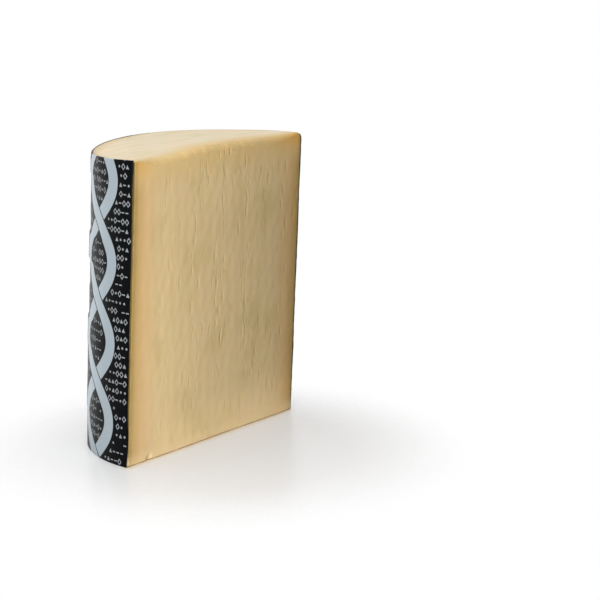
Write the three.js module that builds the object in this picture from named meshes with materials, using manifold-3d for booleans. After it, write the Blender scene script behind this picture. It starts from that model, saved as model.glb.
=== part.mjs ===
// Half of a log-shaped provolone, split lengthwise and standing on its sawn end, with the printed
// film that covers its rind. Millimetres, +Z up. The cut face looks along -Y, the rind along +Y,
// and the origin is the middle of the base.
import * as THREE from "three";
import { mergeVertices } from "three/addons/utils/BufferGeometryUtils.js";
import Module from "manifold-3d";

const wasm = await Module();
wasm.setup();

// Driving dimensions
const height = 250; // base to top face
const outerRadius = 107.5; // half the log's diameter, measured over the film
const filmThickness = 0.6;
const filmGap = 0.3; // between the film and the rind, so that the two solids stay apart
const leanDegrees = 2.25; // the ends weren't sawn quite square, so the log leans
const leanTowards = -52.5; // degrees from +X, seen from above

// Edges of the cheese
const baseRim = 1.2; // rounding where the rind meets the base
const topRim = 1.2; // rounding where the rind meets the top face
const cutSideRound = 3; // rounding of the cut face along the film
const cutTopRound = 6.5; // rounding of the cut face along the top
const cutTopEnd = 2; // the same at both its ends
const cutTopGrowth = { near: 45, far: 20 }; // ways from the -X and +X ends in which it grows
const cutBaseRound = 1.5;

// The top face is worn down a little on one side, the more the nearer to its rim.
const shoulder = { drop: 2.5, towards: 132, spread: 22, reach: 35, wall: 40 };

// The film
const filmBottom = 0.7; // its lower edge, clear of the floor
const filmFold = { least: 20, most: 45 }; // degrees that it follows round the top rim
const filmCutInset = 1.4; // how far its upright edges stop behind the cut face
const filmEdgeWave = 0.35; // how far those edges wander
const filmEdgeReach = 17; // height in which their waves go on by one radian

// Fineness of the faceted surfaces
const arcSteps = 44; // facets round the half of the rind
const wallSteps = 7; // bands up the rind
const cutColumns = 76;
const cutRows = 50;

const rindRadius = outerRadius - filmThickness - filmGap;
const leanSlope = Math.tan(THREE.MathUtils.degToRad(leanDegrees));
const leanX = leanSlope * Math.cos(THREE.MathUtils.degToRad(leanTowards));
const leanY = leanSlope * Math.sin(THREE.MathUtils.degToRad(leanTowards));

// The log isn't turned on a lathe: its radius wanders a little round and along it.
const wander = 0.55;
function offRound(angle, z) {
  return (
    wander *
    (0.5 * Math.sin(2 * angle + 0.7) +
      0.3 * Math.sin(3 * angle - 1.1 + z / 90) +
      0.2 * Math.sin(z / 48 + 0.5))
  );
}

// Park-Miller numbers between 0 and 1, the same on every run.
function numbersFrom(seed) {
  let state = seed;
  return () => {
    state = (state * 48271) % 2147483647;
    return state / 2147483647;
  };
}

// Tears: long shallow pits that the knife pulls out of the paste, mostly upright. They are spread
// evenly, one to a cell of a grid over the cut face, with some cells left whole. The strip along
// the -X edge has none.
const tears = { columns: 9, rows: 9, seed: 4211, share: 0.65, nearMargin: 34, farMargin: 12, endMargin: 16 };
const tearForm = {
  halfWidth: { least: 1.9, spread: 1.1 },
  halfLength: { least: 5, spread: 6 },
  depth: { least: 0.25, spread: 0.4 },
  turn: { least: -0.12, spread: 0.36 }, // radians, towards +X going up
};
const sized = ({ least, spread }, share) => least + spread * share;

function spreadTears() {
  const draw = numbersFrom(tears.seed);
  const cellX = (2 * rindRadius - tears.nearMargin - tears.farMargin) / tears.columns;
  const cellZ = (height - 2 * tears.endMargin) / tears.rows;
  const found = [];
  for (let column = 0; column < tears.columns; column++) {
    for (let row = 0; row < tears.rows; row++) {
      const [kept, alongX, alongZ, size, turn] = [draw(), draw(), draw(), draw(), draw()];
      if (kept > tears.share) continue;
      found.push({
        x: tears.nearMargin - rindRadius + (column + alongX) * cellX,
        z: tears.endMargin + (row + alongZ) * cellZ,
        halfWidth: sized(tearForm.halfWidth, size),
        halfLength: sized(tearForm.halfLength, size),
        depth: sized(tearForm.depth, size),
        turn: sized(tearForm.turn, turn),
      });
    }
  }
  return found;
}
const allTears = spreadTears();

// A chip broken out of the base edge, near the -X end.
const chip = { x: 28 - rindRadius, z: 2, halfWidth: 4, halfLength: 6, depth: 1.3, turn: 0.3 };

// How far a place near the top is lowered by the worn shoulder.
function shoulderFall(x, y, z) {
  const away = THREE.MathUtils.radToDeg(Math.atan2(y, x)) - shoulder.towards;
  const share = Math.exp(-((away / shoulder.spread) ** 2) / 2);
  const outwards = THREE.MathUtils.smoothstep(Math.hypot(x, y), rindRadius - shoulder.reach, rindRadius);
  const upwards = THREE.MathUtils.smoothstep(z, height - shoulder.wall, height - topRim);
  return shoulder.drop * share * outwards * upwards;
}

// Rounding of the cut face's top edge at a place along it.
function topRoundAt(x) {
  const near = THREE.MathUtils.smoothstep(x, -rindRadius, cutTopGrowth.near - rindRadius);
  const far = THREE.MathUtils.smoothstep(-x, -rindRadius, cutTopGrowth.far - rindRadius);
  return cutTopEnd + (cutTopRound - cutTopEnd) * near * far;
}

// How far the rounded edges of the cut face fall back from its plane: a quarter circle whose
// radius depends on which edge is near.
function edgeFall(x, z) {
  const toSide = rindRadius + offRound(x > 0 ? 0 : Math.PI, z) - Math.abs(x);
  const side = Math.max(0, 1 - toSide / cutSideRound);
  const topRound = topRoundAt(x);
  const top = Math.max(0, 1 - (height - z) / topRound);
  const base = Math.max(0, 1 - z / cutBaseRound);
  const reach = Math.min(1, Math.hypot(side, top, base));
  const weights = side + top + base;
  if (weights === 0) return 0;
  const round = (side * cutSideRound + top * topRound + base * cutBaseRound) / weights;
  return round * (1 - Math.sqrt(1 - reach * reach));
}

// The knife leaves the whole face a little wavy, by two waves that cross. Each one's reaches are
// the ways along X and Z in which it goes on by one radian.
const crossingWaves = [
  { depth: 0.3, reachX: 21, reachZ: 75, start: 0.4 },
  { depth: 0.2, reachX: -60, reachZ: 33, start: 1.3 },
];
function knifeWaves(x, z) {
  let depth = 0;
  for (const wave of crossingWaves) {
    depth += wave.depth * Math.sin(x / wave.reachX + z / wave.reachZ + wave.start);
  }
  return depth;
}

// The cut face's distance behind its plane at a place on it.
function cutDepth(x, z) {
  let depth = edgeFall(x, z) + knifeWaves(x, z);
  for (const tear of [...allTears, chip]) {
    const dx = x - tear.x;
    const dz = z - tear.z;
    const across = (dx * Math.cos(tear.turn) - dz * Math.sin(tear.turn)) / tear.halfWidth;
    const along = (dx * Math.sin(tear.turn) + dz * Math.cos(tear.turn)) / tear.halfLength;
    const q = across * across + along * along;
    if (q < 1) depth += tear.depth * (1 - q) * (1 - q);
  }
  return depth;
}

// A closed geometry from vertices and faces of three or four corners, which run counter-clockwise
// when seen from outside.
function closedGeometry(vertices, faces) {
  const geometry = new THREE.BufferGeometry();
  geometry.setAttribute("position", new THREE.Float32BufferAttribute(vertices.flat(), 3));
  const triangles = ([a, b, c, d]) => (d === undefined ? [a, b, c] : [a, b, c, a, c, d]);
  geometry.setIndex(faces.flatMap(triangles));
  return geometry;
}

function toSolid(geometry) {
  geometry.deleteAttribute("normal");
  geometry.deleteAttribute("uv");
  const merged = mergeVertices(geometry, 1e-4);
  return new wasm.Manifold(
    new wasm.Mesh({
      numProp: 3,
      vertProperties: merged.attributes.position.array,
      triVerts: new Uint32Array(merged.index.array),
    }),
  );
}

function toGeometry(solid) {
  const mesh = solid.getMesh();
  const geometry = new THREE.BufferGeometry();
  geometry.setAttribute("position", new THREE.BufferAttribute(mesh.vertProperties, 3));
  geometry.setIndex(new THREE.BufferAttribute(mesh.triVerts, 1));
  return geometry;
}

// Radii and heights up the log's straight wall, both rims left out, for a wall that stands
// clearance outside the rind.
function wallProfile(clearance) {
  const points = [];
  for (let i = 1; i < wallSteps; i++) {
    const z = baseRim + ((height - topRim - baseRim) * i) / wallSteps;
    points.push(new THREE.Vector2(rindRadius + clearance, z));
  }
  return points;
}

// The same round a rim, between two angles in degrees above the horizontal.
function rimProfile(rimRadius, centreZ, from, to, steps, clearance) {
  const away = rimRadius + clearance;
  const points = [];
  for (let i = 0; i <= steps; i++) {
    const angle = THREE.MathUtils.degToRad(from + ((to - from) * i) / steps);
    const out = rindRadius - rimRadius + away * Math.cos(angle);
    points.push(new THREE.Vector2(out, centreZ + away * Math.sin(angle)));
  }
  return points;
}

// The whole log, before it is split: a lathe shape whose wall then wanders, the more the farther
// a place is from the axis. Rings on the top face let it follow the worn shoulder.
function wholeLog() {
  const rings = [0.12, 0.3, 0.5, 0.75, 1].map(
    (share) => new THREE.Vector2(rindRadius - topRim - share * shoulder.reach, height),
  );
  const profile = [
    new THREE.Vector2(0, 0),
    ...rimProfile(baseRim, baseRim, -90, 0, 2, 0),
    ...wallProfile(0),
    ...rimProfile(topRim, height - topRim, 0, 90, 3, 0),
    ...rings,
    new THREE.Vector2(0, height),
  ];
  const geometry = new THREE.LatheGeometry(profile, 2 * arcSteps);
  geometry.rotateX(Math.PI / 2); // the lathe turns round Y, the log stands along Z
  const place = geometry.attributes.position;
  for (let i = 0; i < place.count; i++) {
    const [x, y, z] = [place.getX(i), place.getY(i), place.getZ(i)];
    const share = 1 + (offRound(Math.atan2(y, x), z) * Math.hypot(x, y)) / rindRadius ** 2;
    place.setXYZ(i, x * share, y * share, z - shoulderFall(x, y, z));
  }
  return toSolid(geometry);
}

// Places of the grid lines over a span: a few close together where the edges are rounded, and
// evenly spaced ones between.
function gridLines(low, high, lowRound, highRound, count) {
  const bends = [0, 0.12, 0.45, 1];
  const start = bends.map((share) => low + share * lowRound);
  const end = bends.map((share) => high - share * highRound).reverse();
  const inner = count - start.length - end.length;
  const between = [];
  for (let i = 1; i <= inner; i++) {
    between.push(low + lowRound + ((high - highRound - low - lowRound) * i) / (inner + 1));
  }
  return [...start, ...between, ...end];
}

// A block that fills everything behind the cut face. Its front is the face itself, and its sides
// stand outside the log.
function behindCut() {
  const beyond = 3;
  const back = outerRadius + 2 * beyond;
  const columns = [
    -rindRadius - beyond,
    ...gridLines(-rindRadius, rindRadius, cutSideRound, cutSideRound, cutColumns),
    rindRadius + beyond,
  ];
  const rows = [-beyond, ...gridLines(0, height, cutBaseRound, cutTopRound, cutRows), height + beyond];
  const vertices = [];
  for (const z of rows) {
    for (const x of columns) vertices.push([x, cutDepth(x, z), z]);
  }
  const faces = [];
  const at = (row, column) => row * columns.length + column;
  for (let row = 0; row + 1 < rows.length; row++) {
    for (let column = 0; column + 1 < columns.length; column++) {
      const [left, right] = [at(row, column), at(row, column + 1)];
      faces.push([left, right, right + columns.length, left + columns.length]);
    }
  }
  // The front's outline, walked counter-clockwise seen from -Y, and its copy at the back.
  const outline = [];
  for (let column = 0; column + 1 < columns.length; column++) outline.push(at(0, column));
  for (let row = 0; row + 1 < rows.length; row++) outline.push(at(row, columns.length - 1));
  for (let column = columns.length - 1; column > 0; column--) outline.push(at(rows.length - 1, column));
  for (let row = rows.length - 1; row > 0; row--) outline.push(at(row, 0));
  const first = vertices.length;
  for (const index of outline) vertices.push([vertices[index][0], back, vertices[index][2]]);
  const centre = vertices.length;
  vertices.push([0, back, height / 2]);
  outline.forEach((front, i) => {
    const next = (i + 1) % outline.length;
    faces.push([outline[next], front, first + i, first + next]);
    faces.push([first + next, first + i, centre]);
  });
  return toSolid(closedGeometry(vertices, faces));
}

// The film's two upright edges stop a little behind the cut face, each with waves of its own.
function cutInset(step, z) {
  const start = step < arcSteps / 2 ? 0 : 2;
  return filmCutInset + filmEdgeWave * Math.sin(z / filmEdgeReach + start);
}

// How far the film follows round the top rim, in degrees: less at the back of the log.
function foldAt(step) {
  const angle = (180 * step) / arcSteps;
  const left = THREE.MathUtils.smoothstep(angle, 75, 110);
  const right = 1 - THREE.MathUtils.smoothstep(angle, 4, 20);
  return filmFold.least + (filmFold.most - filmFold.least) * (left + right);
}

// The film's section is one loop, up the inner side and down the outer one: the wall and part of
// the top rim's curve, set off from the rind.
function filmSection(fold) {
  const profileAt = (clearance) => [
    new THREE.Vector2(rindRadius + clearance, filmBottom),
    ...wallProfile(clearance),
    ...rimProfile(topRim, height - topRim, 0, fold, 3, clearance),
  ];
  return [...profileAt(filmGap), ...profileAt(filmGap + filmThickness).reverse()];
}

// The film: its section swept round the back of the log.
function filmGeometry() {
  const vertices = [];
  for (let step = 0; step <= arcSteps; step++) {
    for (const { x: radius, y: z } of filmSection(foldAt(step))) {
      const first = Math.asin(cutInset(step, z) / rindRadius);
      const angle = first + ((Math.PI - 2 * first) * step) / arcSteps;
      const away = radius + offRound(angle, z);
      const [x, y] = [away * Math.cos(angle), away * Math.sin(angle)];
      vertices.push([x, y, z - shoulderFall(x, y, z)]);
    }
  }
  const corners = vertices.length / (arcSteps + 1);
  const faces = [];
  const at = (step, corner) => step * corners + (corner % corners);
  for (let step = 0; step < arcSteps; step++) {
    for (let corner = 0; corner < corners; corner++) {
      const [here, next] = [at(step, corner), at(step, corner + 1)];
      faces.push([here, next, next + corners, here + corners]);
    }
  }
  // Strips close the two upright edges, across from the inner side to the outer one.
  for (let corner = 0; corner + 1 < corners / 2; corner++) {
    const across = corners - 1 - corner;
    faces.push([at(0, corner), at(0, across), at(0, across - 1), at(0, corner + 1)]);
    faces.push([
      at(arcSteps, corner),
      at(arcSteps, corner + 1),
      at(arcSteps, across - 1),
      at(arcSteps, across),
    ]);
  }
  return closedGeometry(vertices, faces);
}

// Everything above the base moves sideways in proportion to its height.
function lean(geometry) {
  const shear = new THREE.Matrix4().set(1, 0, leanX, 0, 0, 1, leanY, 0, 0, 0, 1, 0, 0, 0, 0, 1);
  return geometry.applyMatrix4(shear);
}

const paste = new THREE.MeshStandardMaterial({ color: "#cfb788", roughness: 0.5, metalness: 0 });
const printedFilm = new THREE.MeshStandardMaterial({ color: "#24282a", roughness: 0.35, metalness: 0 });

const cheese = new THREE.Mesh(lean(toGeometry(wholeLog().intersect(behindCut()))), paste);
cheese.name = "cheese";

const film = new THREE.Mesh(lean(filmGeometry()), printedFilm);
film.name = "rind_film";

// The origin goes to the middle of the base of the object's box.
const provolone = new THREE.Group();
provolone.add(cheese, film);
const box = new THREE.Box3().setFromObject(provolone);
const middle = box.getCenter(new THREE.Vector3());
for (const mesh of provolone.children) mesh.position.set(-middle.x, -middle.y, -box.min.z);

export default provolone;
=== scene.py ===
import math

import bpy
import numpy as np
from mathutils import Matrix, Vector


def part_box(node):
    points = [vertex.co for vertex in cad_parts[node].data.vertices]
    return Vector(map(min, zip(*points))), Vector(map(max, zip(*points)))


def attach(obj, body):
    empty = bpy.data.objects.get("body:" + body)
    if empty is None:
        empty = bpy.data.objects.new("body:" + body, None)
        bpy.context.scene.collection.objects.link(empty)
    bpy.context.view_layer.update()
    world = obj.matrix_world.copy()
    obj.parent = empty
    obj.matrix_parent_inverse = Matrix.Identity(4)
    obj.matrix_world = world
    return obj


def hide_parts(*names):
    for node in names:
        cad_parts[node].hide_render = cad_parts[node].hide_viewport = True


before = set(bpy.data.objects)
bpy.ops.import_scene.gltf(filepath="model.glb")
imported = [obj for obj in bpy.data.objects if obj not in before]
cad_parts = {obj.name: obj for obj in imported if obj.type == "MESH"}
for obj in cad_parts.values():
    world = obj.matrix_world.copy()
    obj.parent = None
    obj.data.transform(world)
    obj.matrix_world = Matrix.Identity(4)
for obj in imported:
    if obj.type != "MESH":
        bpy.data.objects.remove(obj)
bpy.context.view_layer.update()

# The half log's own measures, in millimetres and degrees. Its axis stands where the middle of the
# cut face's base line is, x runs along that line, y points into the cheese and z is height. Waves
# are given by their size, the longest one, how many there are and the seed.
log = {
    "height": 250.0,
    "rindRadius": 106.6,
    "filmClearance": 0.9,  # from the rind to the film's outer side
    "leanDegrees": 2.25,
    "leanTowards": -52.5,
    "wander": 0.55,
    "topRim": 1.2,
    "baseRim": 1.2,
    "cutSideRound": 2.0,
    "cutBaseRound": 1.5,
    "cutTopRound": 6.5,
    "cutTopEnd": 2.0,  # the same at both its ends, from which it grows
    "growthNear": 30.0,
    "growthFar": 35.0,
    "cutTopWaves": (0.7, 60, 5, 31),
    "cutTopRipple": (0.35, 13, 5, 37),
    "topSag": 0.15,
    "topWaves": (0.15, 90, 5, 35),
}
height, rindRadius = log["height"], log["rindRadius"]
outerRadius = rindRadius + log["filmClearance"]
leanSlope = math.tan(math.radians(log["leanDegrees"]))
leanX = leanSlope * math.cos(math.radians(log["leanTowards"]))
leanY = leanSlope * math.sin(math.radians(log["leanTowards"]))
mm = 0.001


# Radius error of the log = wander * (half a two-lobed wave + a slowly turning three-lobed one + a
# ripple up the height).
def offRound(angle, z):
    lobes = 0.5 * np.sin(2 * angle + 0.7) + 0.3 * np.sin(3 * angle - 1.1 + z / 90)
    return log["wander"] * (lobes + 0.2 * np.sin(z / 48 + 0.5))


# The log's axis at the base, found from the film's solid: its lowest x is the rind's at half a
# turn, and its highest y is the rind's at a quarter turn.
filmLow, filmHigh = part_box("rind_film")
axisX = filmLow.x / mm + outerRadius + offRound(math.pi, 0)
axisY = filmHigh.y / mm - outerRadius - offRound(math.pi / 2, 0)
print("axis of the log at the base, mm:", round(axisX, 2), round(axisY, 2))


# Place in the frame = log place + axis + lean * height, in metres.
def intoFrame(x, y, z):
    places = np.stack([x + axisX + leanX * z, y + axisY + leanY * z, z], axis=-1)
    return places.reshape(-1, 3) * mm


# 0 at start and before it, 1 at end and past it, either way round, and t squared * (3 - 2t) in
# between, where t is the share of the way.
def blend(start, end, value):
    t = np.clip((value - start) / (end - start), 0, 1)
    return t * t * (3 - 2 * t)


# One soft step up * one soft step down.
def between(steps, value):
    up, down = steps
    return blend(*up, value) * blend(*down, value)


# A bell curve = e to the power of minus half the square of the distance in spreads.
def bell(value, middle, spread):
    return np.exp(-(((value - middle) / spread) ** 2) / 2)


# Sum of sine waves in random directions, each a little shorter than the last, about -size to size.
def looseWaves(a, b, size, longest, count, seed):
    draw = np.random.default_rng(seed)
    total = np.zeros(np.broadcast(a, b).shape)
    for number in range(count):
        turn, phase = draw.uniform(0, 2 * np.pi, 2)
        length = longest / (1 + 0.4 * number)
        total += np.sin(2 * np.pi * (a * np.cos(turn) + b * np.sin(turn)) / length + phase)
    return total * size / math.sqrt(2 * count)


# The top face is worn down a little on one side, the more the nearer to its rim. It dips a little
# at the far rim too, and is raised along the middle of the cut. A pair is the start and the end of
# a soft step, and turns are degrees round the log from its far end.
shoulder = {
    "drop": 3.0,
    "towards": 131.0,
    "spread": 24.0,
    "reach": 35.0,  # in from the rind
    "wall": 40.0,  # down from the top
    "farRise": 0.35,
    "farRiseTurns": (100, 70),
    "farDip": 0.85,
    "farDipTurns": ((10, 20), (60, 30)),
    "frontRise": 1.8,
    "frontRiseAlong": ((-55, -15), (100, 5)),
    "frontDip": 0.8,
    "frontDipAt": -75,
    "frontDipSpread": 15,
    "frontDepth": (50, 5),
}


# Fall of a place near the top = ((drop * a bell curve of the angle - a slight rise on the far side
# + the dip there) * a soft step outwards - the rise and dip at the cut * a soft step forwards) *
# one up.
def shoulderFall(x, y, z):
    s = shoulder
    angle = np.degrees(np.arctan2(y, x))
    worn = s["drop"] * bell(angle, s["towards"], s["spread"])
    worn = worn - s["farRise"] * blend(*s["farRiseTurns"], angle)
    worn = worn + s["farDip"] * between(s["farDipTurns"], angle)
    outwards = blend(rindRadius - s["reach"], rindRadius, np.hypot(x, y))
    front = s["frontRise"] * between(s["frontRiseAlong"], x)
    front = front - s["frontDip"] * bell(x, s["frontDipAt"], s["frontDipSpread"])
    upwards = blend(height - s["wall"], height - log["topRim"], z)
    return (worn * outwards - front * blend(*s["frontDepth"], y)) * upwards


# The far end stands out a little, and its top corner is worn round.
farEnd = {
    "out": 1.4,
    "up": 0.3,
    "from": 60.0,
    "wornFrom": 7.0,  # in from the rind and down from the top
    "wornOut": 2.1,
    "wornUp": 1.2,
    "mostShare": 1.1,  # of the way through the corner, since the rind wanders past its radius
}


# Place at the far end = place + a little out and up, by a soft step along x, - what is worn off,
# by the squares of the shares of the way out and up through the corner.
def shapeFarEnd(x, z):
    f = farEnd
    nearEnd = blend(f["from"], rindRadius, x)
    outShare = np.clip(1 - (rindRadius - x) / f["wornFrom"], 0, f["mostShare"])
    upShare = np.clip(1 - (height - z) / f["wornFrom"], 0, f["mostShare"])
    worn = outShare**2 * upShare**2
    raised = f["up"] * nearEnd * blend(height - shoulder["wall"], height, z)
    return x + f["out"] * nearEnd - f["wornOut"] * worn, z + raised - f["wornUp"] * worn


# The log and its film step in or out on one side, going down.
sideSteps = {
    "atTop": -0.4,
    "heights": {246: 0.4, 232: -0.65, 197: -0.2, 182: 1.0, 159: -1.3,
                137: 0.45, 111: 0.9, 88: -0.3, 32: -0.35},
    "softness": 1.5,
    "turns": ((106, 122), (166, 150)),
}


# Radius change = (the one at the top + all the steps above a place, each a soft one) * two soft
# steps of the angle, which keep it to that side.
def stepsAround(angle, z):
    soft = sideSteps["softness"]
    total = sum(far * blend(soft, -soft, z - at) for at, far in sideSteps["heights"].items())
    return (total + sideSteps["atTop"]) * between(sideSteps["turns"], np.degrees(angle))


# Park-Miller numbers between 0 and 1, the same on every run.
def numbersFrom(seed):
    state = seed
    while True:
        state = state * 48271 % 2147483647
        yield state / 2147483647


# The least value + a share of how much more it may be.
def sized(span, share):
    least, more = span
    return least + more * share


# The sizes of a pit of some kind follow one share, and its turn another.
def pitForm(kind, size, turn):
    form = {key: sized(kind[key], size) for key in ("halfWidth", "halfLength", "depth")}
    return {**form, "turn": sized(kind["turn"], turn)}


# The same tears as on the solid: one to a cell of a grid, some cells left whole.
tears = {
    "columns": 9,
    "rows": 9,
    "seed": 4211,
    "share": 0.65,  # of the cells that have one
    "nearMargin": 34,
    "farMargin": 12,
    "endMargin": 16,
    "halfWidth": (1.9, 1.1),  # the least, and how much more at most
    "halfLength": (5, 6),
    "depth": (0.25, 0.4),
    "turn": (-0.12, 0.36),  # radians, towards +x going up
}


# Place of a tear = its cell's corner + a share of the cell, both ways.
def spreadTears():
    draw = numbersFrom(tears["seed"])
    cellX = (2 * rindRadius - tears["nearMargin"] - tears["farMargin"]) / tears["columns"]
    cellZ = (height - 2 * tears["endMargin"]) / tears["rows"]
    found = []
    for column in range(tears["columns"]):
        for row in range(tears["rows"]):
            kept, alongX, alongZ, size, turn = (next(draw) for _ in range(5))
            if kept <= tears["share"]:
                x = tears["nearMargin"] - rindRadius + (column + alongX) * cellX
                z = tears["endMargin"] + (row + alongZ) * cellZ
                found.append({"x": x, "z": z, **pitForm(tears, size, turn)})
    return found


# Slits are narrower and shallower than tears. They stand one above another in broken upright
# chains, most of them on the far half of the face.
slits = {
    "chains": 10,
    "seed": 977,
    "firstX": -66,
    "pitch": 17,
    "firstZ": (18, 40),
    "topMargin": 22,
    "share": 0.6,  # of a chain's places that have one
    "shift": (-2.5, 5),  # to the side of its chain
    "gap": 8,  # the most from one to the next
    "halfWidth": (0.9, 0.8),
    "halfLength": (3, 5),
    "depth": (0.13, 0.2),
    "turn": (-0.09, 0.24),
}


# Place of a slit = its chain's x + a shift, and the end of the last one + half its own length.
def spreadSlits():
    draw = numbersFrom(slits["seed"])
    found = []
    for chain in range(slits["chains"]):
        middleX = slits["firstX"] + slits["pitch"] * (chain + next(draw))
        z = sized(slits["firstZ"], next(draw))
        while z < height - slits["topMargin"]:
            kept, shift, size, turn = (next(draw) for _ in range(4))
            form = pitForm(slits, size, turn)
            if kept < slits["share"]:
                x = middleX + sized(slits["shift"], shift)
                found.append({"x": x, "z": z + form["halfLength"], **form})
            z += 2 * form["halfLength"] + slits["gap"] * shift
    return found


# A chip broken out of the base edge, near the left end, and tears at the cut face's upper edge.
chip = {"x": 25 - rindRadius, "z": 2, "turn": 0.3,
        "halfWidth": 4.5, "halfLength": 6, "depth": 1.1}
edgeTears = [
    {"x": -18, "z": 232, "halfWidth": 1.5, "halfLength": 10, "depth": 0.3, "turn": 0.03},
    {"x": -3, "z": 242, "halfWidth": 1.3, "halfLength": 4, "depth": 0.4, "turn": 0.05},
    {"x": 4, "z": 243, "halfWidth": 1.1, "halfLength": 3.5, "depth": 0.3, "turn": -0.05},
    {"x": 11, "z": 244, "halfWidth": 1.6, "halfLength": 5.5, "depth": 0.6, "turn": 0.1},
]


# Depth of a pit = depth * (1 - q) squared, where q is the squared distance from its middle in
# units of its half width and half length, across and along a line turned from upright.
def pitDepth(pit, x, z):
    dx, dz = x - pit["x"], z - pit["z"]
    across = (dx * math.cos(pit["turn"]) - dz * math.sin(pit["turn"])) / pit["halfWidth"]
    along = (dx * math.sin(pit["turn"]) + dz * math.cos(pit["turn"])) / pit["halfLength"]
    q = across**2 + along**2
    return pit["depth"] * np.clip(1 - q, 0, 1) ** 2


# The knife leaves the whole face a little wavy, by two waves that cross. Each one's reaches are
# the ways along x and z in which it goes on by one radian.
crossingWaves = [
    {"depth": 0.3, "reachX": 21, "reachZ": 75, "start": 0.4},
    {"depth": 0.2, "reachX": -60, "reachZ": 33, "start": 1.3},
]
relief = {
    "tearShare": 0.5,  # of the solid's depth, since shading shows them more
    "nearShare": 0.55,  # of the pits' depth at the left, from which it grows
    "growth": (-80, 0),
    "bendWaves": (1.3, 46, 5, 36),
    "bendStretch": 1.4,
    "grainWaves": (0.015, 3.2, 14, 33),
    "grainStretch": (3, 7),
    "swellWaves": (0.07, 26, 6, 34),
    "swellStretch": 1.5,
    "sideMargin": 14,
    "baseMargin": 10,
    "topMargin": 12,
}


# Depth of the cut face = the knife's long waves + tears and slits, whose middle lines are bent
# by slow waves + the chip + a fine upright grain that stops short of the edges.
def cutRelief(x, z):
    r = relief
    knife = sum(w["depth"] * np.sin(x / w["reachX"] + z / w["reachZ"] + w["start"]) for w in crossingWaves)
    bent = x + looseWaves(x * r["bendStretch"], z, *r["bendWaves"])
    pits = sum(pitDepth(pit, bent, z) for pit in spreadTears()) * r["tearShare"]
    pits = pits + sum(pitDepth(pit, bent, z) for pit in spreadSlits())
    pits = pits * (r["nearShare"] + (1 - r["nearShare"]) * blend(*r["growth"], x))
    pits = pits + sum(pitDepth(pit, bent, z) for pit in edgeTears)
    wide, long = r["grainStretch"]
    grain = looseWaves(x / wide, z / long, *r["grainWaves"])
    grain = grain + looseWaves(x, z / r["swellStretch"], *r["swellWaves"])
    inside = blend(0, r["sideMargin"], rindRadius - np.abs(x))
    inside = inside * blend(0, r["baseMargin"], z) * blend(0, r["topMargin"], height - z)
    return knife + pits + pitDepth(chip, x, z) + grain * inside, pits


# An object in the scene for a mesh, a camera or a light.
def addObject(name, data):
    made = bpy.data.objects.new(name, data)
    bpy.context.scene.collection.objects.link(made)
    return made


# A mesh from a grid of vertices whose rows close on themselves, and extra faces. Grid faces run
# along a row, then up.
def gridMesh(name, places, rows, ring, extra):
    index = np.arange(rows * ring).reshape(rows, ring)
    beside = np.roll(index, -1, axis=1)
    quads = np.stack([index[:-1], beside[:-1], beside[1:], index[1:]], axis=-1).reshape(-1, 4)
    mesh = bpy.data.meshes.new(name)
    mesh.from_pydata(places.tolist(), [], quads.tolist() + extra)
    mesh.polygons.foreach_set("use_smooth", np.ones(len(mesh.polygons), bool))
    return addObject(name, mesh)


# Numbers of the vertices, one or three to each, which a material reads by their name.
def setNumbers(piece, name, values):
    kind, field = ("FLOAT", "value") if values.ndim == 1 else ("FLOAT_VECTOR", "vector")
    attribute = piece.data.attributes.new(name, kind, "POINT")
    attribute.data.foreach_set(field, values.astype(np.float32).ravel())


# The two values at each corner of a grid's faces, in the order of gridMesh, from values along the
# rows and columns that end where they began.
def gridCorners(u, v):
    u, v = np.broadcast_arrays(u, v)
    both = np.stack([u, v], axis=-1)
    return np.stack([both[:-1, :-1], both[:-1, 1:], both[1:, 1:], both[1:, :-1]], axis=2)


# The map that textures are baked to, from such corners of all the faces.
def setMap(piece, *corners):
    layer = piece.data.uv_layers.new(name="OFBake")
    flat = np.concatenate([part.reshape(-1, 2) for part in corners])
    layer.data.foreach_set("uv", flat.astype(np.float32).ravel())


# Moves values to a span of the map.
def fitSpan(values, low, high):
    least, most = values.min(), values.max()
    return low + (high - low) * (values - least) / (most - least)


# Shares of the map's side.
bakeMap = {
    "low": 0.003,
    "high": 0.997,
    "cutEnd": 0.69,
    "rindStart": 0.70,
    "topScale": 0.0027,  # to a millimetre
    "baseScale": 0.0017,
    "baseStart": 0.62,
    "capStart": 0.703,
    "capMargin": 1,  # in millimetres
    "filmOutside": 0.095,
    "filmInside": 0.07,
    "filmEdge": (0.076, 0.089),
    "edgeLength": 0.45,
    "edgePitch": 0.5,
}

cheeseGrid = {
    "flatCount": 320,  # points across the cut face
    "cornerCount": 7,
    "arcCount": 56,
    "wallRows": 192,
    "baseRows": 10,
    "baseRimRows": 5,
    "topRimRows": 8,
    "topRows": 26,
    "middleY": 45.0,  # where the rings of the top and of the base close
    "leastCorner": 0.4,
    "roundCorner": (0.6, 0.8),  # the shares of the ways in and forwards in the way round it
    "middleFromFilm": 50,
}


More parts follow.
